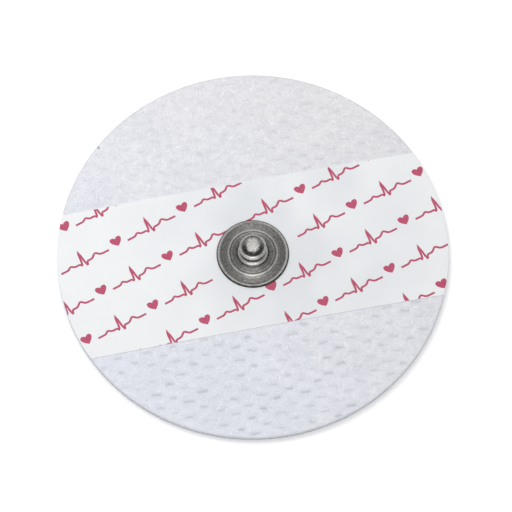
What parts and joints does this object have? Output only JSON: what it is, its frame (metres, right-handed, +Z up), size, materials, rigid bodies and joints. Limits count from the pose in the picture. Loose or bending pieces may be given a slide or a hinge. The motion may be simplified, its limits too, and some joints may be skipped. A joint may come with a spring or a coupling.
{
  "type": "ecg electrode",
  "caption": "Round adhesive electrode pad of non-woven tape with a film strip across it, a metal snap stud for the lead, a gel-covered sensor eyelet and a clear release liner.",
  "frame": {"origin": "on the table under the stud's axis, at the underside of the liner's cup", "axes": "+Z up through the stud, +X to the right of the picture, +Y away from its viewer"},
  "size_m": [0.055, 0.055, 0.0053],
  "materials": {
    "nonwoven_tape": "white non-woven with a pressed pattern of short dashes",
    "label_film": null,
    "nickel_plate": "dull nickel plate with fine turned rings",
    "silver_coated_plastic": "matt grey silver chloride coat",
    "hydrogel": "clear soft gel, wet",
    "clear_film": "clear glossy formed film"
  },
  "bodies": {
    "root": {"backing_disc": "nonwoven_tape", "label_strip": "label_film", "snap_stud": "nickel_plate", "sensor_eyelet": "silver_coated_plastic", "gel_disc": "hydrogel", "release_liner": "clear_film"}
  },
  "joints": []
}
